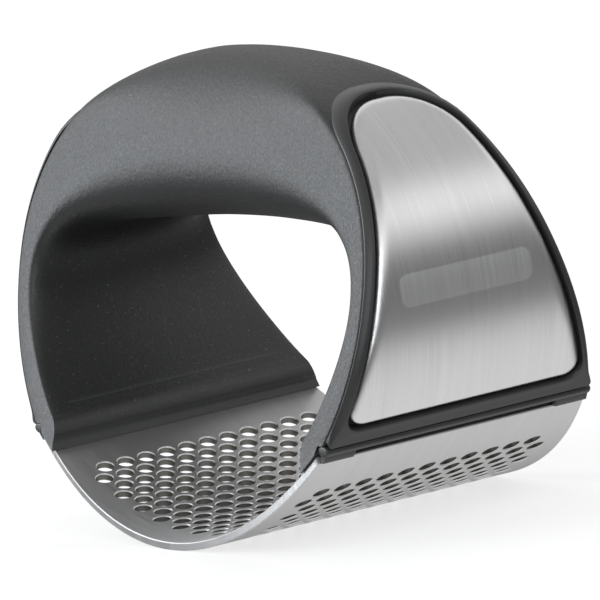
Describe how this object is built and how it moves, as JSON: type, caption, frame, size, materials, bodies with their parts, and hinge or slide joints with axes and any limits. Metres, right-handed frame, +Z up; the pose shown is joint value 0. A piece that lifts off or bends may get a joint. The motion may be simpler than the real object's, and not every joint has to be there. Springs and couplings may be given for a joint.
{
  "type": "rocking garlic press",
  "caption": "Rocking garlic press: curved perforated steel plate under an arched black grip with brushed steel flank panels.",
  "frame": {"origin": "middle of the bounding box's base, on the flat strip where the plate stands", "axes": "+Z up to the crown, X across the arch from foot to foot, Y along the plate's cylinder axis"},
  "size_m": [0.1196, 0.0528, 0.0722],
  "materials": {
    "textured_grip": "finely textured, matte",
    "core_plastic": "moulded, matte",
    "smooth_plastic": "smooth, satin",
    "panel_steel": "brushed across, satin",
    "plate_steel": "brushed along the curve, satin",
    "adhesive": "thin film",
    "screw_steel": "zinc plated"
  },
  "bodies": {
    "root": {"textured_grip": "textured_grip", "handle_core": "core_plastic", "flank_frame_right": "smooth_plastic", "flank_frame_left": "smooth_plastic", "edge_strip_right": "smooth_plastic", "edge_strip_left": "smooth_plastic", "steel_panel_right": "panel_steel", "steel_panel_left": "panel_steel", "adhesive_pad_right": "adhesive", "adhesive_pad_left": "adhesive", "frame_screw_right_1": "screw_steel", "frame_screw_right_2": "screw_steel", "frame_screw_right_3": "screw_steel", "frame_screw_left_1": "screw_steel", "frame_screw_left_2": "screw_steel", "frame_screw_left_3": "screw_steel", "crushing_plate": "plate_steel"}
  },
  "joints": []
}
